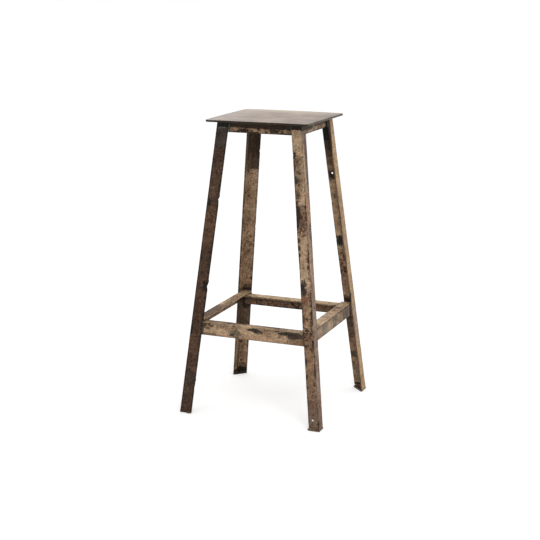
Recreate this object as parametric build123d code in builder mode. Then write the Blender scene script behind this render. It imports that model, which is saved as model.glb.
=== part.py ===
"""Bar stool of welded rolled-steel angle, with splayed legs, a plate seat and a foot ring."""

import os

from build123d import *

# Driving dimensions in millimetres. X runs left to right, Y front to back, Z up from the floor.
seat_height = 780.0  # floor to the top of the seat plate
seat_width = 283.0
seat_depth = 283.0
seat_thickness = 5.0
seat_corner_radius = 15.0
seat_edge_radius = 1.0  # worn upper and lower edges of the plate
seat_overhang_x = 27.0  # plate past the legs' outer faces, at the left and the right
seat_overhang_y = 29.5  # the same at the front and the back

leg_flange_front_left = 33.0  # widths of both flanges; the lengths of angle are not all of one stock
leg_flange_front_right = 28.3
leg_flange_back_left = 30.5
leg_flange_back_right = 32.3
top_rail_flange = 27.5
foot_rail_flange_front = 32.5
foot_rail_flange_back = 31.5
foot_rail_flange_left = 27.5
foot_rail_flange_right = 32.0
wall = 4.0  # thickness of every flange
root_radius = 5.0  # inner corner between the flanges
toe_radius = 2.0  # inner edge of each flange's tip
heel_radius = 0.8  # outer corner between the flanges

foot_span_x = 395.0  # across the legs' outer faces, at the floor
foot_span_y = 379.0
leg_offset_front_left = 2.0  # how far a leg is set out sideways from that line
leg_offset_front_right = 0.0
leg_offset_back_left = 0.0
leg_offset_back_right = 2.0

front_rail_height = 247.5  # floor to the top of each foot rail
back_rail_height = 250.0
left_rail_height = 258.5
right_rail_height = 254.5

foot_plate_thickness = 4.0
foot_plate_past = 3.0  # beyond the tips of the leg's flanges
foot_plate_tip = 4.5  # blunt width of the two sharp corners

weld_gap = 0.3  # fit-up gap between pieces that a bead closes
bead_radius = 3.5
bead_end_round = 2.5
bead_inset = 3.0  # bare length left at each end of a seam
stitch_length = 36.0  # beads between the seat plate and its frame
stitch_pitch = 88.0

hole_radius = 3.0  # holes left from the angle's earlier use
foot_hole_height = 28.0  # in the front flange of the front right leg
foot_hole_from_heel = 17.0
upper_hole_height = 619.0  # in the rear flange of the back right leg
upper_hole_from_heel = 19.5

# Sizes that follow from the ones above
underside = seat_height - seat_thickness
top_span_x = seat_width - 2 * seat_overhang_x  # across the legs' outer faces, under the plate
top_span_y = seat_depth - 2 * seat_overhang_y
lean_x = (foot_span_x - top_span_x) / 2 / underside
lean_y = (foot_span_y - top_span_y) / 2 / underside
corner_ease = root_radius + weld_gap  # ground off a rail's corner to clear the leg's root

corners = {
    "front_left": (-1, -1),
    "front_right": (1, -1),
    "back_left": (-1, 1),
    "back_right": (1, 1),
}
leg_flanges = {
    "front_left": leg_flange_front_left,
    "front_right": leg_flange_front_right,
    "back_left": leg_flange_back_left,
    "back_right": leg_flange_back_right,
}
leg_offsets = {
    "front_left": leg_offset_front_left,
    "front_right": leg_offset_front_right,
    "back_left": leg_offset_back_left,
    "back_right": leg_offset_back_right,
}
cross_rail_heights = {-1: front_rail_height, 1: back_rail_height}  # rails along X
cross_rail_flanges = {-1: foot_rail_flange_front, 1: foot_rail_flange_back}
side_rail_heights = {-1: left_rail_height, 1: right_rail_height}  # rails along Y
side_rail_flanges = {-1: foot_rail_flange_left, 1: foot_rail_flange_right}


def leg_x(z):
    """Half the width across the legs' outer faces at a height."""
    return foot_span_x / 2 - lean_x * z


def leg_y(z):
    """Half the depth across the legs' outer faces at a height."""
    return foot_span_y / 2 - lean_y * z


def heel_point(corner, z):
    """Outer corner of a leg at a height."""
    side_x, side_y = corners[corner]
    return side_x * (leg_x(z) + leg_offsets[corner]), side_y * leg_y(z)


def rail_x(z):
    """Half the width across side rails that fit inside the legs below a height."""
    return leg_x(z) - wall - weld_gap


def rail_y(z):
    """Half the depth across front and back rails that fit inside the legs below a height."""
    return leg_y(z) - wall - weld_gap


def angle_section(plane, flange, heel_u, heel_v, way_u, way_v):
    """Section of a rolled angle, with its heel at a point and a flange along each way."""
    tip_u, tip_v = heel_u + way_u * flange, heel_v + way_v * flange
    in_u, in_v = heel_u + way_u * wall, heel_v + way_v * wall
    with BuildSketch(plane) as section:
        with BuildLine():
            Polyline(
                (heel_u, heel_v),
                (tip_u, heel_v),
                (tip_u, in_v),
                (in_u, in_v),
                (in_u, tip_v),
                (heel_u, tip_v),
                close=True,
            )
        make_face()
        rounded = {
            (in_u, in_v): root_radius,
            (tip_u, in_v): toe_radius,
            (in_u, tip_v): toe_radius,
            (heel_u, heel_v): heel_radius,
        }
        for point, radius in rounded.items():
            fillet(section.vertices().sort_by_distance(point)[0], radius)
    return section.sketch


def save(part, name):
    """Label a finished piece and write it to its own file."""
    part.label = name
    export_step(part, f"parts/{name}.step")


def make_seat_plate():
    """Flat plate whose underside lies on the legs and the top frame."""
    with BuildPart() as plate:
        with BuildSketch(Plane.XY.offset(underside)):
            RectangleRounded(seat_width, seat_depth, seat_corner_radius)
        extrude(amount=seat_thickness)
        rims = plate.faces().filter_by(Axis.Z)
        fillet(rims.edges(), seat_edge_radius)
    return plate.part


def make_leg(corner, holes):
    """Leaning leg, cut level at both ends, between its foot plate and the seat plate."""
    side_x, side_y = corners[corner]
    rise = underside - foot_plate_thickness
    lean = Vector(-side_x * lean_x, -side_y * lean_y, 1)
    heel_x, heel_y = heel_point(corner, foot_plate_thickness)
    with BuildPart() as leg:
        foot = Plane.XY.offset(foot_plate_thickness)
        section = angle_section(foot, leg_flanges[corner], heel_x, heel_y, -side_x, -side_y)
        extrude(section, amount=rise * lean.length, dir=lean)
        for height, from_heel in holes:
            hole_x, hole_y = heel_point(corner, height)
            centre = (hole_x - side_x * from_heel, hole_y, height)
            with Locations(Plane(origin=centre, z_dir=(0, side_y, lean_y))):
                Cylinder(hole_radius, 4 * wall, mode=Mode.SUBTRACT)
    return leg.part


def make_foot_plate(corner):
    """Three-cornered plate under a leg, flush with the leg's outer faces at the floor."""
    side_x, side_y = corners[corner]
    heel_x, heel_y = heel_point(corner, 0)
    reach = leg_flanges[corner] + foot_plate_past
    reach_x, reach_y = heel_x - side_x * reach, heel_y - side_y * reach
    tip_x, tip_y = heel_x - side_x * foot_plate_tip, heel_y - side_y * foot_plate_tip
    with BuildPart() as plate:
        with BuildSketch():
            with BuildLine():
                Polyline(
                    (heel_x, heel_y),
                    (reach_x, heel_y),
                    (reach_x, tip_y),
                    (tip_x, reach_y),
                    (heel_x, reach_y),
                    close=True,
                )
            make_face()
        extrude(amount=foot_plate_thickness)
    return plate.part


def make_top_rail(along, side):
    """Rail of the frame under the seat plate, mitred at both ends; along is X or Y."""
    half_x, half_y = rail_x(underside), rail_y(underside)
    with BuildPart() as rail:
        if along == "X":
            section = angle_section(Plane.YZ, top_rail_flange, side * half_y, underside, -side, -1)
            extrude(section, amount=half_x, dir=(1, 0, 0), both=True)
        else:
            section = angle_section(Plane.XZ, top_rail_flange, side * half_x, underside, -side, -1)
            extrude(section, amount=half_y, dir=(0, 1, 0), both=True)
        for end in (-1, 1):
            out_x, out_y = (end, side) if along == "X" else (side, end)
            corner = Vector(out_x * half_x, out_y * half_y, underside)
            mitre = Vector(end, -side, 0) if along == "X" else Vector(-side, end, 0)
            mitre = mitre.normalized()
            split(bisect_by=Plane(corner - mitre * (weld_gap / 2), z_dir=mitre), keep=Keep.BOTTOM)
            ease = Vector(out_x * (half_x - corner_ease), out_y * half_y, underside)
            split(bisect_by=Plane(ease, z_dir=(out_x, out_y, 0)), keep=Keep.BOTTOM)
    return rail.part


def make_side_foot_rail(side):
    """Left or right foot rail, from the front leg to the back leg, cut to their lean."""
    height = side_rail_heights[side]
    half_x, half_y = rail_x(height), rail_y(height)
    with BuildPart() as rail:
        section = angle_section(Plane.XZ, side_rail_flanges[side], side * half_x, height, -side, -1)
        extrude(section, amount=leg_y(0), dir=(0, 1, 0), both=True)
        for end in (-1, 1):
            end_plane = Plane((0, end * half_y, height), z_dir=(0, end, lean_y))
            split(bisect_by=end_plane, keep=Keep.BOTTOM)
            ease = Vector(side * half_x, end * (half_y - corner_ease), height)
            split(bisect_by=Plane(ease, z_dir=(side, end, 0)), keep=Keep.BOTTOM)
    return rail.part


def make_cross_foot_rail(side):
    """Front or back foot rail, tucked under the level flanges of the side rails."""
    height, flange = cross_rail_heights[side], cross_rail_flanges[side]
    ends = {way: way * (rail_x(rise) - wall - root_radius) for way, rise in side_rail_heights.items()}
    with BuildPart() as rail:
        left_end = Plane.YZ.offset(ends[-1])
        section = angle_section(left_end, flange, side * rail_y(height), height, -side, -1)
        extrude(section, amount=ends[1] - ends[-1], dir=(1, 0, 0))
    return rail.part


def make_beads(seams, neighbours):
    """Group of weld beads, each a round-ended run along a seam, filling what is left free."""
    with BuildPart() as beads:
        for start, finish in seams:
            run = Vector(*finish) - Vector(*start)
            with BuildSketch(Plane(start, z_dir=run)):
                Circle(bead_radius)
            extrude(amount=run.length)
        fillet(beads.edges().filter_by(GeomType.CIRCLE), bead_end_round)
        for neighbour in neighbours:
            add(neighbour, mode=Mode.SUBTRACT)
    return beads.part


def toe_seam(corner, flange_along, top, bottom):
    """Seam down the inner edge of a leg flange's tip; flange_along says which flange."""
    side_x, side_y = corners[corner]
    tip = leg_flanges[corner]
    in_x, in_y = (tip, wall) if flange_along == "X" else (wall, tip)
    seam = []
    for z in (top, bottom):
        heel_x, heel_y = heel_point(corner, z)
        seam.append((heel_x - side_x * in_x, heel_y - side_y * in_y, z))
    return seam


def inner_seam(corner, flange_along, z):
    """Level seam along the inner face of a leg flange, from near its tip to near its root."""
    side_x, side_y = corners[corner]
    heel_x, heel_y = heel_point(corner, z)
    seam = []
    for reach in (leg_flanges[corner] - bead_inset, wall + root_radius + bead_radius):
        in_x, in_y = (reach, wall) if flange_along == "X" else (wall, reach)
        seam.append((heel_x - side_x * in_x, heel_y - side_y * in_y, z))
    return seam


os.makedirs("parts", exist_ok=True)

seat_plate = make_seat_plate()
save(seat_plate, "seat_plate")

leg_holes = {
    "front_right": [(foot_hole_height, foot_hole_from_heel)],
    "back_right": [(upper_hole_height, upper_hole_from_heel)],
}
top_cross = {side: make_top_rail("X", side) for side in (-1, 1)}
top_side = {side: make_top_rail("Y", side) for side in (-1, 1)}
foot_cross = {side: make_cross_foot_rail(side) for side in (-1, 1)}
foot_side = {side: make_side_foot_rail(side) for side in (-1, 1)}

for side, name in ((-1, "front"), (1, "back")):
    save(top_cross[side], f"top_rail_{name}")
    save(foot_cross[side], f"foot_rail_{name}")
for side, name in ((-1, "left"), (1, "right")):
    save(top_side[side], f"top_rail_{name}")
    save(foot_side[side], f"foot_rail_{name}")

for name, (side_x, side_y) in corners.items():
    leg = make_leg(name, leg_holes.get(name, []))
    save(leg, f"leg_{name}")
    foot_plate = make_foot_plate(name)
    save(foot_plate, f"foot_plate_{name}")

    frame_top = underside - bead_radius - bead_inset
    frame_bottom = underside - top_rail_flange + bead_inset
    top_seams = [toe_seam(name, way, frame_top, frame_bottom) for way in ("X", "Y")]
    top_welds = make_beads(top_seams, [leg, top_cross[side_y], top_side[side_x]])
    save(top_welds, f"top_welds_{name}")

    cross_top, side_top = cross_rail_heights[side_y], side_rail_heights[side_x]
    cross_bottom = cross_top - cross_rail_flanges[side_y]
    side_bottom = side_top - side_rail_flanges[side_x]
    ring_seams = [
        toe_seam(name, "X", cross_top, cross_bottom + bead_inset),
        toe_seam(name, "Y", side_top, side_bottom + bead_inset),
        inner_seam(name, "X", side_top),
    ]
    ring_welds = make_beads(ring_seams, [leg, foot_cross[side_y], foot_side[side_x]])
    save(ring_welds, f"ring_welds_{name}")

    foot_seams = [inner_seam(name, way, foot_plate_thickness) for way in ("X", "Y")]
    foot_welds = make_beads(foot_seams, [leg, foot_plate])
    save(foot_welds, f"foot_welds_{name}")

stitch_seams = []
for side in (-1, 1):
    for middle in (-stitch_pitch / 2, stitch_pitch / 2):
        near, far = middle - stitch_length / 2, middle + stitch_length / 2
        half_x, half_y = rail_x(underside), rail_y(underside)
        stitch_seams.append([(near, side * half_y, underside), (far, side * half_y, underside)])
        stitch_seams.append([(side * half_x, near, underside), (side * half_x, far, underside)])
stitches = make_beads(stitch_seams, [seat_plate, *top_cross.values(), *top_side.values()])
save(stitches, "seat_stitch_welds")
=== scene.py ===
import math
from functools import partial

import bmesh
import bpy
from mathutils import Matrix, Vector, noise


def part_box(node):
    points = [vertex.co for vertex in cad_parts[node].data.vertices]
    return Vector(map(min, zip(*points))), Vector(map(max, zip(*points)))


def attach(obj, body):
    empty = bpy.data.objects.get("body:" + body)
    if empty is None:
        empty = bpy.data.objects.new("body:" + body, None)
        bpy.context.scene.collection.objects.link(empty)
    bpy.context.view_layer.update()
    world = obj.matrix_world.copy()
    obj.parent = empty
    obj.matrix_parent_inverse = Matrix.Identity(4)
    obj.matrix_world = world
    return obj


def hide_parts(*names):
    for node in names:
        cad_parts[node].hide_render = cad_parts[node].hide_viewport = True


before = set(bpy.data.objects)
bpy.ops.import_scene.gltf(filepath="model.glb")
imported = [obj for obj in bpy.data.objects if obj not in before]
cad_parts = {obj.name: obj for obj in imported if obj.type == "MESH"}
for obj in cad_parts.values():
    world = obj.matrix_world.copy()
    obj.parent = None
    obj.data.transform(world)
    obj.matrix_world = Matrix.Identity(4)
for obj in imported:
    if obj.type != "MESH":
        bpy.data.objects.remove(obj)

mm = 0.001
scene = bpy.context.scene
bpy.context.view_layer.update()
print("frame loaded,", len(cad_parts), "nodes")

corners = {
    "front_left": (-1, -1),
    "front_right": (1, -1),
    "back_left": (-1, 1),
    "back_right": (1, 1),
}

# rolled steel angle; widths differ from bar to bar
angleStock = {
    "wall": 4 * mm,
    "root": 5 * mm,  # inner corner
    "toe": 2 * mm,  # inner edge of a flange tip
    "tip": 0.5 * mm,  # outer edge of a flange tip, rolled nearly square and worn
    "heel": 0.9 * mm,
    "fitGap": 0.3 * mm,  # between a rail and the leg it is welded to
    "step": 2.6 * mm,  # mesh spacing
    "roundSteps": 5,
    "warp": 0.7 * mm,  # slow unevenness of old stock
    "warpSize": 45 * mm,
    "pitting": 0.35 * mm,  # rust pits and paint lumps
    "pitSize": 6 * mm,
}

seatLow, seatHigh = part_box("seat_plate")
wall = angleStock["wall"]
footPast = 3 * mm  # foot plate beyond the leg's flange tips
mergeGap = 0.01 * mm  # points nearer than this are one


# adds a node with its settings, sets or links its inputs, by name or in the order of its sockets
# (for Map Range: value, from, to), and gives back one of its outputs
def addNode(tree, kind, inputs=(), out=None, **settings):
    node = tree.nodes.new(kind)
    for name, value in settings.items():
        setattr(node, name, value)
    sockets = [socket for socket in node.inputs if socket.enabled]
    if isinstance(inputs, dict):
        sockets = [next(socket for socket in sockets if socket.name == name) for name in inputs]
        inputs = inputs.values()
    for socket, value in zip(sockets, inputs):
        if isinstance(value, bpy.types.NodeSocket):
            tree.links.new(value, socket)
        else:
            socket.default_value = value
    return node.outputs[out] if out else next((o for o in node.outputs if o.enabled), None)


# empties the tree of a material or world, and gives back addNode for it
def clearTree(owner):
    owner.use_nodes = True
    owner.node_tree.nodes.clear()
    return partial(addNode, owner.node_tree)


def newFinish(name):
    material = bpy.data.materials.new(name)
    add = clearTree(material)
    return material, add, add("ShaderNodeTexCoord", out="Object")


def newTree(name, sockets):
    tree = bpy.data.node_groups.new(name, "GeometryNodeTree")
    for kind, names in sockets.items():
        for socket in names:
            tree.interface.new_socket(name=socket, in_out="INPUT", socket_type="NodeSocket" + kind)
    tree.interface.new_socket(name="Geometry", in_out="OUTPUT", socket_type="NodeSocketGeometry")
    add = partial(addNode, tree)
    return tree, add, add("NodeGroupInput").node.outputs


def closeTree(add, geometry, material):
    real = add("GeometryNodeRealizeInstances", [geometry])
    coated = add("GeometryNodeSetMaterial", {"Geometry": real, "Material": material})
    add("NodeGroupOutput", [coated])


def linear(hexText):
    channels = [int(hexText[i:i + 2], 16) / 255 for i in (0, 2, 4)]
    return [c / 12.92 if c <= 0.04045 else ((c + 0.055) / 1.055) ** 2.4 for c in channels] + [1.0]


def newObject(name, data):
    piece = bpy.data.objects.new(name, data)
    scene.collection.objects.link(piece)
    return piece


# what the modifiers make becomes the piece's own mesh
def bakeModifiers(piece):
    bpy.context.view_layer.update()
    graph = bpy.context.evaluated_depsgraph_get()
    mesh = bpy.data.meshes.new_from_object(
        piece.evaluated_get(graph), preserve_all_data_layers=True, depsgraph=graph
    )
    piece.modifiers.clear()
    piece.data = mesh


def growMesh(name, tree, values, base=None):
    piece = newObject(name, base or bpy.data.meshes.new(name))
    modifier = piece.modifiers.new("grow", "NODES")
    modifier.node_group = tree
    for item in tree.interface.items_tree:
        if item.in_out == "INPUT" and item.name in values:
            modifier[item.identifier] = values[item.name]
    bakeModifiers(piece)
    piece.data.name = name
    return piece


def settle(piece, node, sharpAngle=40):
    mesh = piece.data
    work = bmesh.new()
    work.from_mesh(mesh)
    bmesh.ops.remove_doubles(work, verts=work.verts, dist=mergeGap)
    bmesh.ops.recalc_face_normals(work, faces=work.faces)
    work.to_mesh(mesh)
    work.free()
    mesh.shade_smooth()
    mesh.set_sharp_from_angle(angle=math.radians(sharpAngle))
    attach(piece, "root")
    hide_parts(node)


# where each length of angle lies: heel line, and the way its two flanges point
bars = {}
for corner, (sideX, sideY) in corners.items():
    plateLow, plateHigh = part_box("foot_plate_" + corner)
    width = plateHigh.x - plateLow.x - footPast
    low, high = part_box("leg_" + corner)
    foot = Vector((high.x if sideX > 0 else low.x, high.y if sideY > 0 else low.y, low.z))
    head = Vector((
        low.x + width if sideX > 0 else high.x - width,
        low.y + width if sideY > 0 else high.y - width,
        high.z,
    ))
    bars["leg_" + corner] = {
        "axis": 2,
        "width": width,
        "start": foot,
        "run": head - foot,
        "a": Vector((-sideX, 0, 0)),
        "b": Vector((0, -sideY, 0)),
    }


# point of a bar's heel line; its station is a height on a leg, X or Y on a rail
def heelAt(bar, station):
    start, run, axis = bar["start"], bar["run"], bar["axis"]
    return start + run * ((station - start[axis]) / run[axis])


def layRail(node, axis, side, outer, first, last, **cuts):
    low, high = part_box(node)
    start, run, inward = Vector((0, 0, high.z)), Vector(), Vector()
    start[axis], start[1 - axis] = first, outer
    run[axis] = last - first
    inward[1 - axis] = -side
    bars[node] = {
        "axis": axis,
        "width": high.z - low.z,
        "start": start,
        "run": run,
        "a": inward,
        "b": Vector((0, 0, -1)),
        **cuts,
    }


topHalf = Vector((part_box("top_rail_right")[1].x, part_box("top_rail_back")[1].y, 0))
ease = angleStock["root"] + angleStock["fitGap"]  # ground off a rail's corner to clear the leg's root
mitre = {"startCut": (1, 0, 0), "endCut": (-1, 0, 0), "ease": ease}
for name, axis, side in (("front", 0, -1), ("back", 0, 1), ("left", 1, -1), ("right", 1, 1)):
    half = topHalf[axis]
    layRail("top_rail_" + name, axis, side, side * topHalf[1 - axis], -half, half, **mitre)
    low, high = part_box("foot_rail_" + name)
    outer = (high if side > 0 else low)[1 - axis]
    if axis == 0:
        layRail("foot_rail_" + name, axis, side, outer, low.x, high.x)
    else:  # the side rails stop at the legs and are cut to their lean
        leg = bars["leg_back_" + name]
        half = heelAt(leg, high.z).y - wall - angleStock["fitGap"]
        lean = -leg["run"].y / leg["run"].z
        cuts = {"startCut": (0, -lean, 0), "endCut": (0, lean, 0), "ease": ease}
        layRail("foot_rail_" + name, axis, side, outer, -half, half, **cuts)
print("bars laid out,", len(bars))


# rolledAngle: sweeps the angle section along a bar and leaves wear guides on the mesh;
# a cut is the slide of an end face along the run, per flange length
def makeAngleTree():
    tree, add, given = newTree("rolledAngle", {
        "Vector": ("Start", "Run", "Flange A", "Flange B", "Start Cut", "End Cut"),
        "Float": ("Ease", "Width", "Wall", "Root", "Toe", "Tip", "Heel", "Step", "Warp", "Pitting", "Seed"),
        "Material": ("Material",),
    })

    # section: heel, tip and toe of flange A, root, toe and tip of flange B
    width, thick = given["Width"], given["Wall"]
    index = add("GeometryNodeInputIndex")
    sectionPoints = [(0, 0), (width, 0), (width, thick), (thick, thick), (thick, width), (0, width)]
    rounding = ["Heel", "Tip", "Toe", "Root", "Toe", "Tip"]
    cornerPick = add("GeometryNodeIndexSwitch", {"Index": index}, data_type="VECTOR").node
    radiusPick = add("GeometryNodeIndexSwitch", {"Index": index}, data_type="FLOAT").node
    for pick in (cornerPick, radiusPick):
        while len(pick.index_switch_items) < len(sectionPoints):
            pick.index_switch_items.new()
    for order, (u, v) in enumerate(sectionPoints):
        point = add("ShaderNodeCombineXYZ", {"X": u, "Y": v})
        tree.links.new(point, cornerPick.inputs[order + 1])
        tree.links.new(given[rounding[order]], radiusPick.inputs[order + 1])
    points = add("GeometryNodePoints", {"Count": len(sectionPoints), "Position": cornerPick.outputs[0]})
    outline = add("GeometryNodePointsToCurves", {"Points": points})
    outline = add("GeometryNodeSetSplineCyclic", {"Geometry": outline, "Cyclic": True})
    outline = add("GeometryNodeFilletCurve", {
        "Curve": outline, "Radius": radiusPick.outputs[0], "Count": angleStock["roundSteps"],
        "Limit Radius": True,
    }, mode="POLY")

    # even spacing on the flats
    position = add("GeometryNodeInputPosition")
    following = add("GeometryNodeOffsetPointInCurve", {"Offset": 1}, out="Point Index")
    nextPoint = add("GeometryNodeFieldAtIndex", {
        "Value": position, "Index": following,
    }, data_type="FLOAT_VECTOR", domain="POINT")
    span = add("ShaderNodeVectorMath", [position, nextPoint], operation="DISTANCE")
    cuts = add("ShaderNodeMath", [span, given["Step"]], operation="DIVIDE")
    cuts = add("ShaderNodeMath", [cuts], operation="FLOOR")
    outline = add("GeometryNodeSubdivideCurve", [outline, cuts])

    # rail curve, and on both curves a note of where a point came from
    runLength = add("ShaderNodeVectorMath", [given["Run"]], operation="LENGTH")
    count = add("ShaderNodeMath", [runLength, given["Step"]], operation="DIVIDE")
    rail = add("GeometryNodeCurvePrimitiveLine", {"End": add("ShaderNodeCombineXYZ", {"Z": runLength})})
    rail = add("GeometryNodeResampleCurve", {"Curve": rail, "Count": count})
    along = add("GeometryNodeSplineParameter", out="Factor")
    kept = []
    for curve, kind, value in ((outline, "VECTOR", position), (rail, "FLOAT", along)):
        capture = add("GeometryNodeCaptureAttribute").node
        capture.capture_items.new(kind, "From")
        tree.links.new(curve, capture.inputs[0])
        tree.links.new(value, capture.inputs[1])
        kept.append(capture.outputs)
    (outline, section), (rail, fraction) = [(outputs[0], outputs[1]) for outputs in kept]
    swept = add("GeometryNodeCurveToMesh", {"Curve": rail, "Profile Curve": outline, "Fill Caps": True})

    # put each point on its bar, with the end cuts
    flat = add("ShaderNodeSeparateXYZ", [section]).node.outputs
    slides = []
    for cut, sign in (("Start Cut", 1.0), ("End Cut", -1.0)):
        slide = add("ShaderNodeVectorMath", [section, given[cut]], operation="DOT_PRODUCT")
        nip = add("ShaderNodeMath", [given["Ease"], flat["X"]], operation="SUBTRACT")
        nip = add("ShaderNodeMath", [nip, 0.0], operation="MAXIMUM")
        slides.append(add("ShaderNodeMath", [nip, sign, slide], operation="MULTIPLY_ADD"))
    slide = add("ShaderNodeMix", [fraction, slides[0], slides[1]])
    reach = add("ShaderNodeMath", [slide, runLength], operation="DIVIDE")
    reach = add("ShaderNodeMath", [reach, fraction])
    place = given["Start"]
    for way, amount in (("Run", reach), ("Flange A", flat["X"]), ("Flange B", flat["Y"])):
        part = add("ShaderNodeVectorMath", [given[way], amount], operation="SCALE")
        place = add("ShaderNodeVectorMath", [place, part])
    placed = add("GeometryNodeSetPosition", {"Geometry": swept, "Position": place})

    # unevenness, along the normals
    lumps = 0.0
    for size, depth in ((angleStock["warpSize"], "Warp"), (angleStock["pitSize"], "Pitting")):
        grain = add("ShaderNodeTexNoise", {
            "Vector": position, "W": given["Seed"], "Scale": 1 / size, "Detail": 2.0,
        }, noise_dimensions="4D")
        lump = add("ShaderNodeMath", [grain, 0.5], operation="SUBTRACT")
        lumps = add("ShaderNodeMath", [lump, given[depth], lumps], operation="MULTIPLY_ADD")
    normal = add("GeometryNodeInputNormal")
    push = add("ShaderNodeVectorMath", [normal, lumps], operation="SCALE")
    carried = add("GeometryNodeSetPosition", {"Geometry": placed, "Offset": push})

    # wear guides in millimetres: distance to the nearest edge, side of the heel, depth from the outer face
    fromHeel = add("ShaderNodeVectorMath", [section], operation="LENGTH")
    deepest = add("ShaderNodeMath", [flat["X"], flat["Y"]], operation="MAXIMUM")
    fromTip = add("ShaderNodeMath", [width, deepest], operation="SUBTRACT")
    for name, first, second, operation in (
        ("rim", fromHeel, fromTip, "MINIMUM"),
        ("flangeSide", flat["X"], flat["Y"], "SUBTRACT"),
        ("inward", flat["X"], flat["Y"], "MINIMUM"),
    ):
        value = add("ShaderNodeMath", [first, second], operation=operation)
        value = add("ShaderNodeMath", [value, 1 / mm], operation="MULTIPLY")
        carried = add("GeometryNodeStoreNamedAttribute", {
            "Geometry": carried, "Name": name, "Value": value,
        }, data_type="FLOAT", domain="POINT")
    closeTree(add, carried, given["Material"])
    return tree


# how the paint lies and wears on every bar; bands are in millimetres, or in paintLoss's measure
paintSet = {
    "raggedReach": 14 * mm,  # borders of larger marks are no more ragged than this
    "spotFade": (0.4, 0.15),  # soft border of a spot, inwards and outwards
    "tipBand": (0.6, 1.6),  # from a flange tip
    "tipRub": 0.75,
    "heelBand": (7.0, 9.0),  # from the heel
    "gather": 0.09,  # how strongly chips lie in clusters
    "edgeDarkeningBand": (0.0, 6.0),  # from an edge
    "thinBand": (-0.17, -0.02),  # loss, from whole film to thin
    "bareBand": (-0.03, 0.03),  # loss, from thin film to bare steel
    "speckNearLoss": 0.35,
    "speckCover": 0.85,
    "filmDepth": 0.4 * mm,
    "bareRough": 0.75,
}


# gives back the function that covers a ragged spot on a bar: strength inside, nothing outside
def spotMaker(add, look, place, fields, onFlange):
    shaken = add("ShaderNodeVectorMath", [
        fields["chip"].node.outputs["Color"], (0.5, 0.5, 0.5),
    ], operation="SUBTRACT")
    shaken = add("ShaderNodeVectorMath", [shaken, look["ragged"]], operation="SCALE")
    fray = add("ShaderNodeMath", [
        fields["grain"], look["fray"], -0.5 * look["fray"],
    ], operation="MULTIPLY_ADD")

    def spot(side, centre, radii, strength, soft=False):
        loose = [min(1.0, paintSet["raggedReach"] / radius) for radius in radii]
        border = max(loose) if soft else min(loose)
        fadeIn, fadeOut = [share * border for share in paintSet["spotFade"]]
        offset = add("ShaderNodeVectorMath", [place, centre], operation="SUBTRACT")
        offset = add("ShaderNodeVectorMath", [offset, radii], operation="DIVIDE")
        offset = add("ShaderNodeVectorMath", [shaken, loose, offset], operation="MULTIPLY_ADD")
        distance = add("ShaderNodeVectorMath", [offset], operation="LENGTH")
        distance = add("ShaderNodeMath", [fray, border, distance], operation="MULTIPLY_ADD")
        cover = add("ShaderNodeMapRange", [
            distance, 1 - fadeIn, 1 + fadeOut, strength, 0.0,
        ], interpolation_type="SMOOTHSTEP")
        return add("ShaderNodeMath", [cover, onFlange[side]], operation="MULTIPLY")

    return spot


# the film: tones that wander slowly over each face, and flange tips rubbed down to the stain
def paintFilm(add, look, tones, fields, guides, spot):
    wander = add("ShaderNodeMapRange", [fields["broad"], 0.35, 0.65])
    faces = {}
    for face in ("A", "B", "inA", "inB"):
        light, dark = look["paint" + face]
        faces[face] = add("ShaderNodeMix", [wander, linear(light), linear(dark)], data_type="RGBA")
    onA = guides["onA"]
    outer = add("ShaderNodeMix", [onA, faces["B"], faces["A"]], data_type="RGBA")
    inner = add("ShaderNodeMix", [onA, faces["inB"], faces["inA"]], data_type="RGBA")
    paint = add("ShaderNodeMix", [guides["inside"], outer, inner], data_type="RGBA")

    tipA, tipB = look.get("tips", (look["stain"], look["stain"]))
    atTip = add("ShaderNodeMapRange", [guides["rim"], *paintSet["tipBand"], paintSet["tipRub"], 0.0])
    offHeel = add("ShaderNodeMapRange", [guides["fromHeel"], *paintSet["heelBand"]])
    atTip = add("ShaderNodeMath", [atTip, offHeel], operation="MULTIPLY")
    tip = add("ShaderNodeMix", [onA, linear(tipB), linear(tipA)], data_type="RGBA")
    layers = [(spot(*where, strength), linear(tone)) for *where, tone, strength in tones]
    for cover, tone in layers + [(atTip, tip)]:
        paint = add("ShaderNodeMix", [cover, paint, tone], data_type="RGBA")
    return paint


# above zero where the paint has gone: chips in loose clusters, more of them along the edges
def paintLoss(add, look, wear, fields, guides, spot):
    rimWear = add("ShaderNodeMapRange", [guides["rim"], 0.0, look["rimWidth"], look["rimLoss"], 0.0])
    heelWear = add("ShaderNodeMapRange", [
        guides["fromHeel"], 0.0, look["heelWidth"], look["heelLoss"], 0.0,
    ])
    keeps = add("ShaderNodeMix", [guides["onA"], look["keepB"], look["keepA"]])
    keeps = add("ShaderNodeMix", [guides["inside"], keeps, look["keepIn"]])
    gather = paintSet["gather"]
    cluster = add("ShaderNodeMapRange", [fields["broad"], 0.3, 0.7, -gather, gather])
    loss = add("ShaderNodeMath", [fields["chip"], rimWear])
    loss = add("ShaderNodeMath", [heelWear, guides["onA"], loss], operation="MULTIPLY_ADD")
    loss = add("ShaderNodeMath", [loss, keeps], operation="SUBTRACT")
    loss = add("ShaderNodeMath", [loss, cluster])
    for *where, amount in wear:
        loss = add("ShaderNodeMath", [loss, spot(*where, amount, soft=True)])
    return loss
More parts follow.
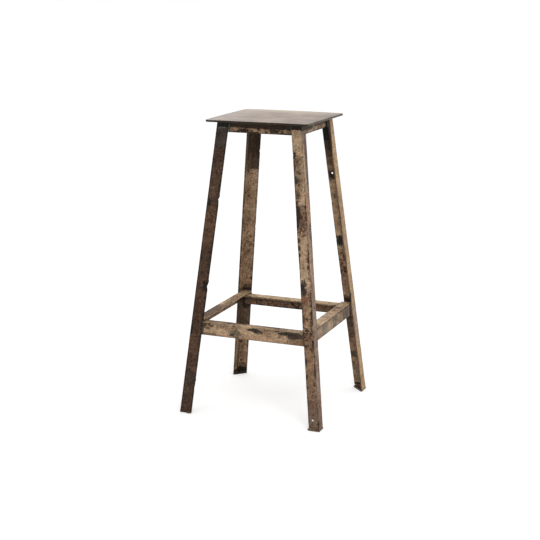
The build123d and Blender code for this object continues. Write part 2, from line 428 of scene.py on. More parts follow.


# what dulls or brightens everything: darkening along the edges, the oil's cast, dirt and rubbed flecks
def paintGlazes(add, look, fields, guides):
    edgeDarkening = add("ShaderNodeMapRange", [
        guides["rim"], *paintSet["edgeDarkeningBand"], look["edgeDarkening"], 1.0,
    ], interpolation_type="SMOOTHSTEP")
    warmth = add("ShaderNodeMapRange", [fields["tint"], 0.35, 0.65])
    olive, pink = linear("f8f9f4"), linear("fff7f4")
    tint = add("ShaderNodeMix", [warmth, olive, pink], data_type="RGBA")
    glazes = [edgeDarkening, tint]
    for key, depth in (("grain", 0.36), ("dirt", 0.26)):
        glazes.append(add("ShaderNodeMapRange", [fields[key], 0.36, 0.64, 1 - depth, 1 + depth]))
    rubbed = add("ShaderNodeMapRange", [fields["fleck"], 0.54, 0.66])
    shine = 1 + look["flecks"]
    pale = (shine, 1.03 * shine, 1.09 * shine, 1.0)  # a little greyer than the film
    flecks = add("ShaderNodeMix", [rubbed, (0.97, 0.97, 0.97, 1.0), pale], data_type="RGBA")
    return glazes + [flecks]


# Old oil paint on rolled mild steel: a dull putty film, brushed on, gone in ragged chips that
# show brown rust and black scale. Gives a mottled, low-gloss face with worn dark edges.
def flakedPaint(name, look, placed):
    material, add, place = newFinish(name)
    fields = {}
    for key, size, detail, roughness in (  # sizes in millimetres
        ("broad", 70, 2.0, 0.5),
        ("chip", 9, 6.0, 0.7),
        ("grain", 4, 3.0, 0.6),  # finer grit drawn coarse enough to show
        ("speck", 5.5, 2.0, 0.45),
        ("dirt", 16, 4.0, 0.6),
        ("tint", 24, 3.0, 0.55),
        ("fleck", 5, 2.0, 0.5),
    ):
        fields[key] = add("ShaderNodeTexNoise", {
            "Vector": place, "W": look["seed"] + len(fields), "Scale": 1 / (size * mm),
            "Detail": detail, "Roughness": roughness,
        }, noise_dimensions="4D")

    # which face: flange A, flange B or inside; how far from the edges and from the heel
    guides = {}
    for key in ("rim", "flangeSide", "inward"):
        guides[key] = add("ShaderNodeAttribute", out="Fac", attribute_name=key)
    for key, guide, low, high in (("onA", "flangeSide", -0.6, 0.6), ("inside", "inward", 2.6, 3.6)):
        guides[key] = add("ShaderNodeMapRange", [guides[guide], low, high], interpolation_type="SMOOTHSTEP")
    guides["fromHeel"] = add("ShaderNodeMath", [guides["flangeSide"]], operation="ABSOLUTE")
    onB = add("ShaderNodeMath", [1.0, guides["onA"]], operation="SUBTRACT")
    spot = spotMaker(add, look, place, fields, {"a": guides["onA"], "b": onB})

    colour = paintFilm(add, look, placed["tones"], fields, guides, spot)
    loss = paintLoss(add, look, placed["wear"], fields, guides, spot)
    thin = add("ShaderNodeMapRange", [
        loss, *paintSet["thinBand"], 0.0, look["thinning"],
    ], interpolation_type="SMOOTHSTEP")
    bare = add("ShaderNodeMapRange", [loss, *paintSet["bareBand"]], interpolation_type="SMOOTHSTEP")

    # bare steel: black scale to brown rust, and small rust spots that come through the film
    darkRust, warmRust = [linear(tone) for tone in look["rust"]]
    rustiness = add("ShaderNodeMapRange", [fields["grain"], 0.38, 0.66])
    rust = add("ShaderNodeMix", [rustiness, darkRust, warmRust], data_type="RGBA")
    spots = add("ShaderNodeMath", [
        loss, paintSet["speckNearLoss"], fields["speck"],
    ], operation="MULTIPLY_ADD")
    spots = add("ShaderNodeMapRange", [
        spots, look["speckAt"], look["speckAt"] + 0.05, 0.0, paintSet["speckCover"],
    ])

    # single marks lie over all that: burns, bare patches and the painted shade under the seat plate, each
    # with a ragged border
    layers = [(thin, linear(look["stain"])), (bare, rust), (spots, darkRust)]
    layers += [(spot(*where, strength), linear(tone)) for *where, tone, strength in placed["marks"]]
    for cover, tone in layers:
        colour = add("ShaderNodeMix", [cover, colour, tone], data_type="RGBA")
    for glaze in paintGlazes(add, look, fields, guides):
        colour = add("ShaderNodeMix", [1.0, colour, glaze], data_type="RGBA", blend_type="MULTIPLY")

    # relief: paint film stands proud of the chips
    film = add("ShaderNodeMath", [bare, -0.6], operation="MULTIPLY")
    relief = add("ShaderNodeMath", [fields["grain"], 0.5, film], operation="MULTIPLY_ADD")
    bump = add("ShaderNodeBump", {"Height": relief, "Distance": paintSet["filmDepth"], "Strength": 0.6})
    gloss = add("ShaderNodeMapRange", [bare, 0.0, 1.0, look["paintRough"], paintSet["bareRough"]])
    shader = add("ShaderNodeBsdfPrincipled", {
        "Base Color": colour, "Roughness": gloss, "Normal": bump, "IOR": 1.45,
        "Specular IOR Level": 0.2,
    })
    add("ShaderNodeOutputMaterial", {"Surface": shader})
    return material


# what a bar's tones, wear and marks are given as: flange, station along the bar, distance from the
# heel, half length, half width, then tone and strength, or for wear the paint lost there.
# Station is the height on a leg, X or Y on a rail, all in millimetres.
def markPlaces(bar, marks):
    placed = []
    for side, station, fromHeel, halfLong, halfWide, *given in marks:
        radii = [halfWide * mm] * 3
        radii[bar["axis"]] = halfLong * mm
        placed.append((side, heelAt(bar, station * mm) + bar[side] * fromHeel * mm, radii, *given))
    return placed


putty = ("a88d6b", "927858")

# what a bar has unless its own look says otherwise
plainLook = {
    "paintA": putty,  # lightest and darkest tone, outside and inside
    "paintB": putty,
    "paintinA": putty,
    "paintinB": putty,
    "rust": ("2b211a", "54402f"),
    "stain": "6f5b4a",  # thin, rubbed paint
    "ragged": 0.9,  # borders of spots
    "fray": 1.5,
    "rimLoss": 0.16,
    "rimWidth": 5.0,  # millimetres
    "heelLoss": 0.0,
    "heelWidth": 6.0,
    "thinning": 0.75,
    "speckAt": 0.57,  # higher for fewer specks
    "edgeDarkening": 0.86,
    "flecks": 0.3,
    "paintRough": 0.66,
    "tones": (),
    "wear": (),
    "marks": (),
}

barLooks = {}
barLooks["leg_front_left"] = {
    "seed": 1.0,
    "paintA": ("553f2f", "3f2e22"), "paintB": ("8b7056", "6d553f"),
    "paintinA": ("6f5b48", "57452f"), "paintinB": ("6f5b48", "57452f"),
    "rust": ("1f1611", "523c2d"), "stain": "3d2b20",
    "keepA": 0.58, "keepB": 0.62, "keepIn": 0.6, "rimLoss": 0.14, "edgeDarkening": 0.6, "flecks": 0.5,
    "tones": [
        ("a", 720, 24, 9, 8, "4a473f", 0.6),
        ("a", 690, 14, 26, 14, "4a372f", 0.5),
        ("a", 630, 15, 42, 12, "4b3d2d", 0.55),
        ("a", 520, 16, 50, 20, "614834", 0.65),
        ("a", 420, 17, 50, 12, "4b3726", 0.55),
        ("a", 280, 15, 46, 11, "513526", 0.5),
        ("a", 132, 13, 16, 9, "5d4030", 0.6),
        ("a", 102, 16, 14, 13, "35352b", 0.75),
        ("a", 45, 14, 40, 14, "4b4033", 0.6),
    ],
    "wear": [
        ("a", 300, 26, 80, 8, 0.1),
        ("a", 510, 18, 60, 20, -0.07),
        ("a", 690, 16, 60, 14, 0.03),
    ],
    "marks": [
        ("a", 738, 16, 26, 60, "3a3730", 0.66),  # grey undercoat
        ("a", 722, 23, 9, 7, "4b4a42", 0.5),
        ("a", 750, 11, 9, 6, "3f332d", 0.6),
        ("a", 742, 8, 9, 6, "2a2620", 0.8),
        # dark band under the seat plate: painted shade of its overhang, with some grime
        ("a", 785, 16, 23, 300, "191b17", 0.97),
        ("a", 759, 14, 1.8, 16, "55594e", 0.9),  # edge of the undercoat
        ("a", 567, 6, 12, 8, "1d1612", 0.9),
        ("a", 347, 27, 18, 7, "12100d", 0.95),
        ("a", 232, 3, 22, 5, "16130f", 0.9),
        ("a", 205, 2, 8, 4, "7a5632", 0.7),
    ],
}
barLooks["leg_front_right"] = {
    "seed": 2.0,
    "paintA": ("b0967a", "997f65"), "paintB": ("a48973", "866e60"),
    "paintinA": ("8f7758", "6d5741"), "paintinB": ("8f7758", "6d5741"),
    "rust": ("2c1f17", "5f4232"), "stain": "6b5443",
    "keepA": 0.65, "keepB": 0.68, "keepIn": 0.6, "rimLoss": 0.14, "rimWidth": 3.5, "flecks": 0.14,
    "tones": [
        ("a", 735, 15, 26, 18, "a08b72", 0.65),
        ("a", 640, 18, 72, 15, "77674f", 0.62),
        ("a", 600, 22, 30, 9, "826b56", 0.5),
        ("a", 576, 13, 13, 10, "a08a70", 0.6),
        ("a", 545, 16, 34, 40, "5f483b", 0.6),
        ("a", 532, 13, 16, 8, "573a30", 0.6),
        ("a", 440, 15, 46, 18, "a28c72", 0.55),
        ("a", 310, 14, 44, 30, "876a50", 0.6),
        ("a", 150, 15, 100, 40, "7a5e46", 0.75),
        ("a", 236, 15, 20, 40, "6a543f", 0.55),
        ("a", 40, 13, 44, 40, "5a473b", 0.8),
        ("a", 22, 8, 16, 7, "7d6a55", 0.6),
        ("a", 30, 21, 14, 4, "86705f", 0.6),
        ("b", 762, 8, 15, 12, "74736a", 0.8),
        ("b", 672, 22, 95, 12, "5a4e4b", 0.85),
        # light tan beside the heel on flange B: painted light against the shade of the rounded heel
        ("b", 690, 4, 85, 8, "b39a7e", 0.8),
        ("b", 555, 12, 40, 14, "b38c70", 0.75),
        ("b", 505, 22, 30, 10, "6f625c", 0.8),
        ("b", 440, 10, 40, 12, "b0967f", 0.6),
        ("b", 368, 7, 36, 7, "65585a", 0.7),
        ("b", 310, 16, 44, 26, "85786c", 0.65),
        ("b", 242, 16, 30, 40, "766457", 0.7),
        ("b", 130, 27, 90, 6, "574641", 0.75),
        ("b", 160, 9, 105, 10, "827570", 0.5),
        ("b", 35, 14, 36, 40, "675246", 0.65),
    ],
    "wear": [
        ("a", 735, 15, 40, 40, -0.12),  # sound paint
        ("a", 640, 21, 75, 14, 0.11),
        ("a", 545, 18, 45, 30, 0.1),
        ("a", 577, 13, 14, 11, -0.14),
        ("a", 430, 2.5, 110, 4.5, 0.17),
        ("a", 425, 15, 60, 8, -0.06),
        ("a", 310, 14, 62, 40, 0.09),
        ("a", 290, 2.5, 70, 5, 0.15),
        ("a", 240, 17, 26, 40, 0.13),
        ("a", 150, 18, 75, 40, -0.03),
        ("a", 150, 2, 95, 4, 0.12),
    ],
    "marks": [
        # the next two marks: dark band under the seat plate, painted shade of its overhang with some grime
        ("a", 786, 15, 24, 300, "191611", 0.97),
        ("b", 779, 12, 20, 40, "332d25", 0.85),
        ("a", 698, 24.5, 11, 6.5, "2e231c", 0.95),
        ("a", 668, 27, 24, 5, "33271f", 0.85),
        ("a", 637, 23, 10, 9, "36291f", 0.9),
        ("a", 599, 22, 11, 8, "44322a", 0.7),
        ("a", 545, 25, 36, 7, "1f1814", 0.9),
        ("a", 487, 26, 7, 5, "2a1f18", 0.9),
        ("a", 468, 26, 8, 5, "2a1f18", 0.9),
        ("a", 448, 26, 7, 4, "2a1f18", 0.9),
        ("a", 365, 25, 17, 7, "1e1916", 0.97),
        ("a", 359, 18, 11, 6, "241d18", 0.93),
        ("a", 376, 17, 9, 7, "30261f", 0.88),
        ("a", 384, 16, 7, 2.5, "3a2e25", 0.8),
        ("a", 383, 22, 8, 3, "30261f", 0.85),
        ("a", 338, 20, 11, 11, "65402c", 0.65),
        ("a", 286, 25, 9, 5, "55301f", 0.85),
        ("a", 251, 7, 6, 5, "2b1d13", 0.85),
        ("a", 213, 5, 15, 5, "3a291e", 0.75),
        ("a", 165, 2.5, 70, 2.5, "4e2f1d", 0.65),
        ("a", 176, 26, 14, 5, "2a1e17", 0.85),
        ("a", 140, 26, 10, 5, "2e2119", 0.85),
        ("b", 490, 26, 8, 5, "2a221d", 0.85),
    ],
}
barLooks["leg_back_left"] = {
    "seed": 3.0,
    "paintA": ("937b5f", "7b644c"), "paintB": ("937b5f", "7b644c"),
    "paintinA": ("b0957a", "997e64"), "paintinB": ("a68c70", "8d735a"),
    "rust": ("30231b", "5a4030"), "stain": "6b533f", "tips": ("5f4c3b", "6a5745"),
    "keepA": 0.6, "keepB": 0.62, "keepIn": 0.62, "rimLoss": 0.1, "flecks": 0.36,
    "tones": [("a", 500, 16, 66, 40, "8a7053", 0.3), ("b", 75, 7, 75, 7, "4a3423", 0.75)],
    "wear": [
        ("a", 320, 18, 60, 30, -0.03),
        ("a", 440, 18, 40, 30, 0.05),
        ("a", 75, 26, 70, 12, -0.09),
        ("b", 75, 26, 70, 12, -0.12),
    ],
    "marks": [
        ("a", 800, 18, 186, 300, "403024", 0.92),
        ("a", 690, 24, 40, 9, "2d2119", 0.8),
        ("b", 760, 8, 137, 17, "42332a", 0.85),
        ("b", 680, 8, 80, 17, "42332a", 0.75),
        ("b", 655, 30, 45, 7, "5c4a3a", 0.85),
        ("b", 560, 25, 24, 5, "352d27", 0.92),
        ("a", 671, 28, 9, 4, "17130f", 0.9),
        ("a", 622, 28, 8, 4, "17130f", 0.9),
        ("a", 452, 12, 7, 6, "b39a7b", 0.7),
        ("a", 260, 20, 18, 22, "3a2c21", 0.6),
        ("a", 258, 21, 13, 19, "221a14", 0.85),
        ("b", 258, 14, 11, 40, "3f3024", 0.6),
        ("a", 225, 12, 26, 18, "3c2d22", 0.75),
        ("a", 224, 14, 19, 34, "0f0b08", 0.93),
        ("a", 188, 16, 48, 40, "392a1f", 0.78),
        ("b", 190, 14, 48, 40, "3b2c21", 0.78),
        ("a", 8, 14, 27, 60, "3d2d20", 0.6),
        ("a", 4, 14, 17, 60, "120d08", 0.93),
        ("b", 3, 14, 14, 60, "19140f", 0.88),
    ],
}
barLooks["leg_back_right"] = {
    "seed": 4.0,
    "paintA": ("8d775d", "75614d"), "paintB": ("ba9e7c", "a88b69"),
    "paintinA": ("b29779", "977a60"), "paintinB": ("8d775d", "75614d"),
    "rust": ("2b1f18", "5e3f2f"), "stain": "6a5040", "tips": ("6a5040", "51382a"),
    "keepA": 0.6, "keepB": 0.76, "keepIn": 0.64, "rimLoss": 0.06, "edgeDarkening": 0.9, "flecks": 0.08,
    "tones": [
        ("a", 655, 18, 40, 60, "6c5a43", 0.7),
        ("a", 565, 18, 30, 40, "a58e70", 0.6),
        ("a", 500, 18, 44, 20, "ac8d72", 0.55),
        ("a", 405, 22, 14, 14, "8f8060", 0.6),
        ("a", 340, 18, 20, 30, "a58a76", 0.6),
        ("a", 300, 16, 20, 30, "86685a", 0.6),
        ("b", 390, 30, 420, 4.5, "5c4231", 0.8),  # dark tip side
        ("a", 138, 16, 40, 60, "71533f", 0.7),
        ("a", 55, 16, 34, 60, "816d57", 0.7),
        ("b", 200, 14, 66, 40, "a18b7e", 0.55),
        ("b", 190, 28, 40, 8, "8d7a70", 0.7),
        ("b", 430, 14, 30, 30, "ad8e78", 0.5),
    ],
    "wear": [
        ("a", 364, 18, 42, 30, 0.09),
        ("a", 470, 10, 60, 8, 0.06),
        ("a", 130, 16, 40, 30, 0.05),
        ("a", 545, 18, 66, 30, -0.05),
    ],
    "marks": [
        ("a", 800, 18, 160, 300, "57452f", 0.65),  # darker towards the top, under the seat, fading downwards
        ("a", 800, 18, 138, 300, "46362a", 0.75),
        ("a", 800, 18, 118, 300, "2f241a", 0.8),
        ("a", 800, 18, 92, 300, "140d07", 0.93),
        ("b", 730, 31, 110, 7, "35291f", 0.9),
        ("a", 616, 18, 15, 14, "211813", 0.96),
        ("a", 612, 9, 13, 9, "2a1f18", 0.92),
        ("a", 431, 18, 17, 18, "1d1e1b", 0.97),
        ("b", 278, 30, 20, 5, "1c150f", 0.9),
        ("a", 257, 13, 13, 24, "1c150f", 0.93),
        ("a", 262, 26, 16, 12, "3a2a20", 0.7),
        ("a", 204, 16, 24, 60, "33271e", 0.85),
        ("a", 172, 16, 24, 60, "4b392c", 0.65),
        ("a", 101, 16, 11, 20, "47412f", 0.85),
        ("a", 510, 31, 6, 4, "1d1612", 0.9),
        ("a", 472, 31, 8, 3.5, "2a1d16", 0.85),
        ("a", 13, 14, 4, 40, "1c140e", 0.9),
    ],
}
barLooks["top_rail_front"] = {
    "seed": 5.0,
    "paintB": ("b09777", "8a7057"),
    "keepA": 0.55, "keepB": 0.57, "keepIn": 0.56,
    "marks": [
        # dark strip under the seat plate: painted shade of its overhang, with some grime
        ("b", 0, 2, 300, 13, "271c14", 0.95),
        ("b", -47, 21, 15, 6, "1b1511", 0.95),
        ("b", 38, 19, 17, 5, "1f1813", 0.9),
        ("b", -76, 20, 7, 8, "8a6a5c", 0.7),
    ],
}
barLooks["top_rail_right"] = {
    "seed": 6.0,
    "paintB": ("bea58a", "a08770"),
    "keepA": 0.55, "keepB": 0.66, "keepIn": 0.56, "speckAt": 0.62,
    "tones": [("b", -80, 14, 26, 40, "6f6b5f", 0.7)],
    "wear": [("b", 40, 24, 70, 10, 0.05)],
    "marks": [
        # dark strip under the seat plate: painted shade of its overhang, with some grime
        ("b", 0, 0, 300, 16, "40352c", 0.85),
        ("b", -40, 0, 50, 21, "3f372f", 0.8),
        ("b", -12, 14, 8, 20, "8b857a", 0.75),
        ("b", 103, 14, 9, 40, "1b1510", 0.93),
    ],
}
barLooks["top_rail_back"] = {
    "seed": 7.0,
    "keepA": 0.58, "keepB": 0.58, "keepIn": 0.56,
}
barLooks["top_rail_left"] = {
    "seed": 8.0,
    "keepA": 0.58, "keepB": 0.58, "keepIn": 0.56,
}
# foot rails: flange A, on top, takes a lighter putty than the hanging flange, painted light from above; on
# the back and left rails the inside of the hanging flange takes a darker putty, painted shade under the top
# flange
barLooks["foot_rail_front"] = {
    "seed": 9.0,
    "paintA": ("c1a787", "a08568"), "paintB": ("a58b70", "8d745c"),
    "rust": ("2c2119", "5c402d"), "keepA": 0.61, "keepB": 0.7, "keepIn": 0.57, "rimLoss": 0.1,
    "speckAt": 0.6, "tips": ("4f3e30", "6f5b4a"),
    "tones": [
        ("b", -20, 26, 90, 5, "b08c74", 0.5),
        ("b", -105, 18, 40, 9, "b79c7f", 0.5),
        ("b", 136, 18, 30, 16, "6f5643", 0.7),
        ("b", 126, 27, 40, 8, "7a5c47", 0.55),
    ],
    "wear": [("b", -100, 6, 70, 6, 0.08), ("b", 10, 7, 32, 8, 0.12), ("b", 110, 12, 45, 14, 0.14)],
    "marks": [
        ("b", -48, 21, 18, 12, "5a5241", 0.88),
        ("b", -58, 24, 8, 6, "3c382c", 0.8),
        ("b", 3, 4.5, 22, 4.5, "262824", 0.93),
        ("b", 14, 8, 17, 5, "2e2a24", 0.8),
        ("b", 88, 6, 20, 4, "22251e", 0.9),
        ("b", 110, 4, 30, 5, "2a241b", 0.9),
        ("a", 108, 2, 28, 5, "3a3025", 0.85),
        ("b", 112, 11, 18, 7, "261d16", 0.88),
        ("b", 130, 9, 14, 6, "33271e", 0.8),
        ("a", -85, 29, 70, 5, "4a3a2c", 0.7),
        ("b", -140, 6, 10, 6, "2c231b", 0.85),
        ("b", -116, 6, 8, 4, "4a3a2b", 0.8),
        ("b", -128, 12, 9, 5, "42352a", 0.75),
        ("b", -128, 29, 28, 4, "5c4a3a", 0.7),
        ("b", -85, 5, 6, 2, "4a3a2b", 0.75),
        ("b", -59, 6, 7, 2, "4d3b2c", 0.75),
    ],
}
barLooks["foot_rail_back"] = {
    "seed": 10.0,
    "paintA": ("d1b892", "bb9e79"),
    "paintinB": ("7a5a41", "563b29"),
    "rust": ("1f150f", "4d3323"), "keepA": 0.68, "keepB": 0.58, "keepIn": 0.51, "rimLoss": 0.08,
    "tones": [("b", 0, 10, 200, 9, "4a3526", 0.5), ("b", 20, 26, 90, 6, "8a6450", 0.6)],
    "wear": [("b", 20, 26, 90, 6, -0.06)],
}
barLooks["foot_rail_left"] = {
    "seed": 11.0,
    "paintA": ("b4987a", "997e65"), "paintinB": ("8f745a", "755b45"),
    "rust": ("2c2119", "5c402d"), "keepA": 0.68, "keepB": 0.57, "keepIn": 0.6, "rimLoss": 0.0,
    # tip of flange A in light tan: painted light on a face the lamps leave darker
    "tips": ("a88d70", "6f5b4a"), "edgeDarkening": 0.97,
    "tones": [
        ("a", -80, 15, 64, 40, "604e43", 0.75),
        ("a", 20, 5, 40, 7, "c8ad88", 0.7),
        ("a", 20, 20, 60, 9, "857060", 0.55),
        ("a", 86, 14, 20, 7, "b58b6e", 0.65),
    ],
    "wear": [("a", -60, 1, 80, 4, 0.2)],
    "marks": [
        ("a", -95, 1.5, 45, 3.5, "3f342c", 0.8),
        ("a", 86, 3, 13, 5, "5c452f", 0.75),
        # near black at the back end: painted shade under the top flange, by the leg
        ("b", 138, 14, 36, 60, "17110c", 0.92),
    ],
}
barLooks["foot_rail_right"] = {
    "seed": 12.0,
    "paintA": ("d4b999", "b89c80"), "paintB": ("a88e75", "8d745e"),
    "rust": ("2c231c", "5f4533"), "keepA": 0.67, "keepB": 0.66, "keepIn": 0.57, "rimLoss": 0.08,
    "heelLoss": 0.22, "heelWidth": 2.5,
    "tones": [
        ("a", -106, 10, 22, 40, "8c745e", 0.75),
        ("b", -65, 16, 20, 40, "7b766c", 0.85),
        ("b", 13, 16, 18, 40, "69665d", 0.8),
        ("b", 101, 16, 26, 40, "5c5b56", 0.88),
        ("b", -105, 16, 20, 40, "a58875", 0.5),
        ("b", -25, 16, 14, 18, "a68c79", 0.45),
    ],
}

# holes left from the angle's earlier use: height, distance from the heel in flange A
holeRadius = 3 * mm
holeSides = 32
bars["leg_front_right"]["holes"] = [(28, 17)]
bars["leg_back_right"]["holes"] = [(619, 19.5)]

# bruised flange tips: flange, height, half length, depth (below zero stands proud)
nickReach = 7 * mm  # how far in from the tip a bruise is felt
bars["leg_front_left"]["nicks"] = [
    ("a", 575, 5, 2.4),
    ("a", 569, 10, 1.2),
    ("a", 583, 4, -0.5),
    ("a", 345, 9, 2.2),
    ("a", 359, 5, -1.4),
    ("a", 93, 6, -0.9),
    ("a", 70, 12, 0.8),
]
bars["leg_front_right"]["nicks"] = [
    ("a", 700, 7, 0.9),
    ("a", 470, 110, -0.9),
    ("a", 270, 50, -0.7),
    ("b", 208, 4, 2.0),
    ("b", 61, 4, 1.8),
]
bars["leg_back_left"]["nicks"] = [
    ("a", 668, 5, 1.6),
    ("a", 452, 8, 0.8),
]
bars["leg_back_right"]["nicks"] = [
    ("a", 540, 5, 1.0),
    ("a", 330, 8, 0.9),
]


def drillHole(piece, bar, station, fromHeel):
    turn = Vector((0, 0, 1)).rotation_difference(bar["b"]).to_matrix().to_4x4()
    turn.translation = heelAt(bar, station * mm) + bar["a"] * fromHeel * mm
    work = bmesh.new()
    bmesh.ops.create_cone(
        work, cap_ends=True, segments=holeSides, radius1=holeRadius, radius2=holeRadius, depth=6 * wall
    )
    bmesh.ops.transform(work, matrix=turn, verts=work.verts)
    drill = newObject("drill", bpy.data.meshes.new("drill"))
    work.to_mesh(drill.data)
    work.free()
    cut = piece.modifiers.new("hole", "BOOLEAN")
    cut.operation = "DIFFERENCE"
    cut.object = drill
    bakeModifiers(piece)
    bpy.data.objects.remove(drill)


def nickEdge(mesh, bar, nick):
    side, station, halfLong, depth = nick
    tip = heelAt(bar, station * mm) + bar[side] * bar["width"]
    for vertex in mesh.vertices:
        along = abs(vertex.co.z - tip.z) / (halfLong * mm)
        back = (tip - vertex.co).dot(bar[side]) / nickReach
        if along < 1 and back < 1:
            pull = (1 - along ** 2) ** 2 * (1 - max(back, 0)) ** 2
            vertex.co -= bar[side] * depth * mm * pull


angleTree = makeAngleTree()
stockSizes = {key.capitalize(): size for key, size in angleStock.items()}
for node, bar in bars.items():
    look = {**plainLook, **barLooks[node]}
    placed = {kind: markPlaces(bar, look[kind]) for kind in ("tones", "wear", "marks")}
    piece = growMesh("angle." + node, angleTree, {
        **stockSizes,
        "Start": bar["start"][:],
        "Run": bar["run"][:],
        "Flange A": bar["a"][:],
        "Flange B": bar["b"][:],
        "Start Cut": bar.get("startCut", (0.0, 0.0, 0.0)),
        "End Cut": bar.get("endCut", (0.0, 0.0, 0.0)),
        "Ease": bar.get("ease", 0.0),
        "Width": bar["width"],
        "Seed": look["seed"],
        "Material": flakedPaint("flakedPaint." + node, look, placed),
    })
    for station, fromHeel in bar.get("holes", ()):
        drillHole(piece, bar, station, fromHeel)
    settle(piece, node)
    for nick in bar.get("nicks", ()):
        nickEdge(piece.data, bar, nick)
    print("angle", node, len(piece.data.polygons), "faces")

# seat: one flat plate, laid on the frame, its corners knocked down a little
seatSet = {
    "edge": 1.8 * mm,  # worn round
    "corner": 15 * mm,
    "step": 4 * mm,
    "cornerSteps": 6,
    "ripple": 0.5 * mm,  # slow waves of hammered-flat plate
    "rippleSize": 70 * mm,
    "rippleSlice": 3.1,  # picks other waves
    "chew": 0.5 * mm,  # uneven sheared edge
    "chewSize": (12 * mm, 12 * mm, 10 * mm),
    "edgeBack": 0.3 * mm,  # sheared edge inside the plate's full size, so that the chew fits
    "droopFrom": 0.72,  # share of the half width where a corner starts to bend
    "droop": {(-1, -1): 0.3 * mm, (1, -1): 0.2 * mm, (-1, 1): 0.6 * mm, (1, 1): 0.4 * mm},
    "spring": 1.0 * mm,  # rise of the left side, midway
    "riseFrom": 0.84,  # share of the half width where a raised edge starts
    "rise": (0.5 * mm, 1.8 * mm),  # of the front edge, left and right; its right corner stands up
}


def seatLift(x, y):
    shareX, shareY = x / seatHigh.x, y / seatHigh.y
    size = seatSet["rippleSize"]
    lift = seatSet["ripple"] * noise.noise(Vector((x / size, y / size, seatSet["rippleSlice"])))
    start = seatSet["droopFrom"]
    outX = max(0, (abs(shareX) - start) / (1 - start))
    outY = max(0, (abs(shareY) - start) / (1 - start))
    corner = (1 if x > 0 else -1, 1 if y > 0 else -1)
    if x < 0:
        lift += seatSet["spring"] * outX * (1 - shareY ** 2)
    start = seatSet["riseFrom"]
    riseLeft, riseRight = seatSet["rise"]
    rise = riseLeft + (riseRight - riseLeft) * (shareX + 1) / 2
    front = rise * max(0, (-shareY - start) / (1 - start))
    right = riseRight * max(0, (shareX - start) / (1 - start))
    lift += max(front, right * max(0, -shareY))
    return lift - seatSet["droop"][corner] * (outX * outY) ** 0.8


def gridLine(half, corner):
    inner = half - corner
    steps = seatSet["cornerSteps"]
    count = round(2 * inner / seatSet["step"])
    line = [-half + corner * i / steps for i in range(steps)]
    line += [-inner + 2 * inner * i / count for i in range(count + 1)]
    return line + [inner + corner * (i + 1) / steps for i in range(steps)]


# closed band of faces between rings of points
def joinRings(work, rings):
    for first, second in zip(rings, rings[1:]):
        for k in range(len(first)):
            following = (k + 1) % len(first)
            work.faces.new([first[k], second[k], second[following], first[following]])


def makeSeat():
    edge = seatSet["edge"]
    halfX, halfY = seatHigh.x - edge, seatHigh.y - edge
    corner = seatSet["corner"] - edge
    xs, ys = gridLine(halfX, corner), gridLine(halfY, corner)

    def rounded(x, y):  # square corner blocks bent to quarter discs
        a = max(0, (abs(x) - halfX + corner) / corner)
        b = max(0, (abs(y) - halfY + corner) / corner)
        if a == 0 or b == 0:
            return Vector((x, y)), Vector((a, b))
        bent = Vector((a * math.sqrt(1 - b * b / 2), b * math.sqrt(1 - a * a / 2)))
        flatX = math.copysign(halfX - corner + bent.x * corner, x)
        flatY = math.copysign(halfY - corner + bent.y * corner, y)
        return Vector((flatX, flatY)), bent

    work = bmesh.new()
    rimLayer = work.verts.layers.float.new("rim")

    def addPoint(flat, z, rim):
        vertex = work.verts.new((flat.x, flat.y, z + seatLift(flat.x, flat.y)))
        vertex[rimLayer] = rim / mm
        return vertex

    faces = {}
    for z in (seatHigh.z, seatLow.z):
        grid = []
        for x in xs:
            row = []
            for y in ys:
                flat = rounded(x, y)[0]
                inFromEdge = min(halfX - abs(flat.x), halfY - abs(flat.y))
                row.append(addPoint(flat, z, inFromEdge))
            grid.append(row)
        faces[z] = grid
        for i in range(len(xs) - 1):
            for j in range(len(ys) - 1):
                quad = [grid[i][j], grid[i + 1][j], grid[i + 1][j + 1], grid[i][j + 1]]
                work.faces.new(quad if z == seatHigh.z else quad[::-1])

    lastX, lastY = len(xs) - 1, len(ys) - 1
    border = [(i, 0) for i in range(lastX)] + [(lastX, j) for j in range(lastY)]
    border += [(i, lastY) for i in range(lastX, 0, -1)] + [(0, j) for j in range(lastY, 0, -1)]
    rings = [[faces[seatHigh.z][i][j] for i, j in border]]
    turns = [math.radians(angle) for angle in (30, 60, 90)]
    levels = [(edge * math.sin(t), seatHigh.z - edge * (1 - math.cos(t))) for t in turns]
    levels += [(edge * math.sin(t), seatLow.z + edge * (1 - math.cos(t))) for t in turns[::-1]]
    for out, z in levels:
        ring = []
        for i, j in border:
            flat, bent = rounded(xs[i], ys[j])
            way = Vector((math.copysign(bent.x, xs[i]), math.copysign(bent.y, ys[j])))
            if i in (0, lastX) and bent.y == 0:
                way = Vector((math.copysign(1, xs[i]), 0))
            if j in (0, lastY) and bent.x == 0:
                way = Vector((0, math.copysign(1, ys[j])))
            spot = [value / size for value, size in zip((flat.x, flat.y, z), seatSet["chewSize"])]
            chew = seatSet["chew"] * noise.noise(Vector(spot))
            reach = out + chew * out / edge - seatSet["edgeBack"]
            ring.append(addPoint(flat + way.normalized() * reach, z, 0))
        rings.append(ring)
    rings.append([faces[seatLow.z][i][j] for i, j in border])
    joinRings(work, rings)
    mesh = bpy.data.meshes.new("seat")
    work.to_mesh(mesh)
    work.free()
    return newObject("seatPlate", mesh)


